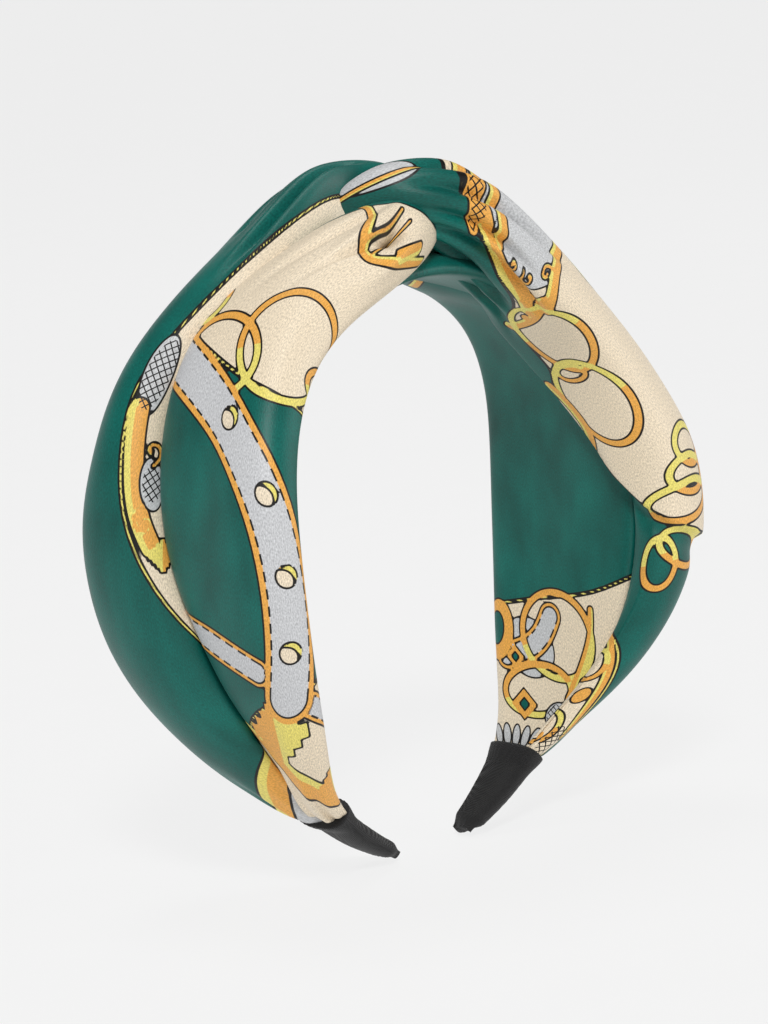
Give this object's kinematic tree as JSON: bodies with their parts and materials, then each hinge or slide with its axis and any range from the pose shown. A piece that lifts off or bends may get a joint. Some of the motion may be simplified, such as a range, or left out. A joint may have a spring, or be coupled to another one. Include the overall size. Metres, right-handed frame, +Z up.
{
  "type": "knotted headband",
  "caption": "Rigid-hoop hair headband wrapped in printed satin scarf strips that interlock in a turban knot at the crown, with ribbon end caps.",
  "frame": {"origin": "on the inner face at the crown, where the headband rests on the head", "axes": "+Z up out of the knot, +X from the left leg to the right leg, +Y from the front edge to the back edge"},
  "size_m": [0.145, 0.058, 0.1698],
  "materials": {
    "scarf_satin": "emerald green printed satin, cream, gold and grey pattern",
    "sleeve_fabric": "plain green lining fabric",
    "cap_ribbon": "black ribbed grosgrain ribbon",
    "thread": "dark green sewing thread",
    "hoop_plastic": "black spring plastic"
  },
  "bodies": {
    "crown": {"hoop_crown": "hoop_plastic", "hoop_sleeve_crown": "sleeve_fabric", "crown_inner_panel": "scarf_satin", "left_strip_knot_loop": "scarf_satin", "right_strip_knot_loop": "scarf_satin", "knot_tack_stitches": "thread"},
    "left_leg": {"left_hoop": "hoop_plastic", "left_hoop_sleeve": "sleeve_fabric", "left_inner_panel": "scarf_satin", "left_front_fold": "scarf_satin", "left_back_fold": "scarf_satin", "left_end_binding": "thread", "left_end_cap": "cap_ribbon", "left_cap_tip_fold": "cap_ribbon"},
    "right_leg": {"right_hoop": "hoop_plastic", "right_hoop_sleeve": "sleeve_fabric", "right_inner_panel": "scarf_satin", "right_front_fold": "scarf_satin", "right_back_fold": "scarf_satin", "right_end_binding": "thread", "right_end_cap": "cap_ribbon", "right_cap_tip_fold": "cap_ribbon"}
  },
  "joints": [
    {"name": "left_leg_flex", "type": "hinge", "parent": "crown", "child": "left_leg", "pos_m": [-0.02925, 0, -0.00499], "axis": [0, 1, 0], "range_deg": [0, 12], "stiffness_Nm_per_rad": 1.2},
    {"name": "right_leg_flex", "type": "hinge", "parent": "crown", "child": "right_leg", "pos_m": [0.02925, 0, -0.00499], "axis": [0, -1, 0], "range_deg": [0, 12], "stiffness_Nm_per_rad": 1.2}
  ]
}
